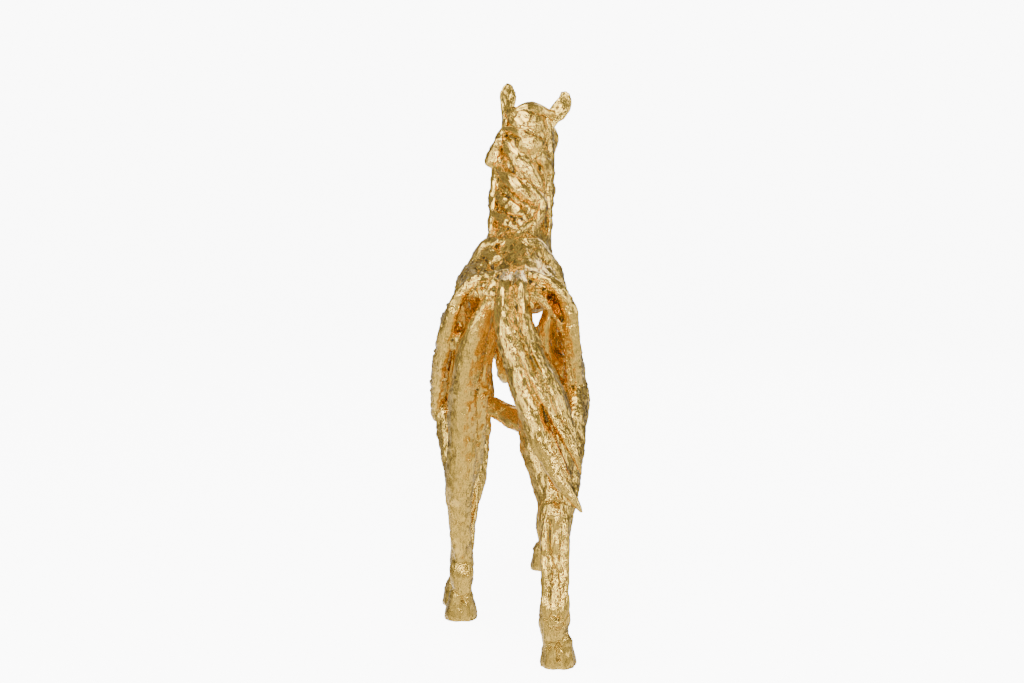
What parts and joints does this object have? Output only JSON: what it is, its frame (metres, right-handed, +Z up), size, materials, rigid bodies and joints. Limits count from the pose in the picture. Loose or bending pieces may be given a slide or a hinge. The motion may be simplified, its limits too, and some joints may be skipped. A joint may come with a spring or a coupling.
{
  "type": "horse figurine",
  "caption": "Openwork figurine of a walking horse, cast in one piece like bands of driftwood and finished in gold, standing on its four hooves.",
  "frame": {"origin": "on the ground, under the middle of the figure's bounding box", "axes": "+Y the way the horse walks, +X to the horse's right, +Z up"},
  "size_m": [0.0958, 0.3304, 0.3386],
  "materials": {
    "gilt_resin": "bright gold leaf over cast resin, brown wash in the grooves"
  },
  "bodies": {
    "root": {"horse": "gilt_resin"}
  },
  "joints": []
}
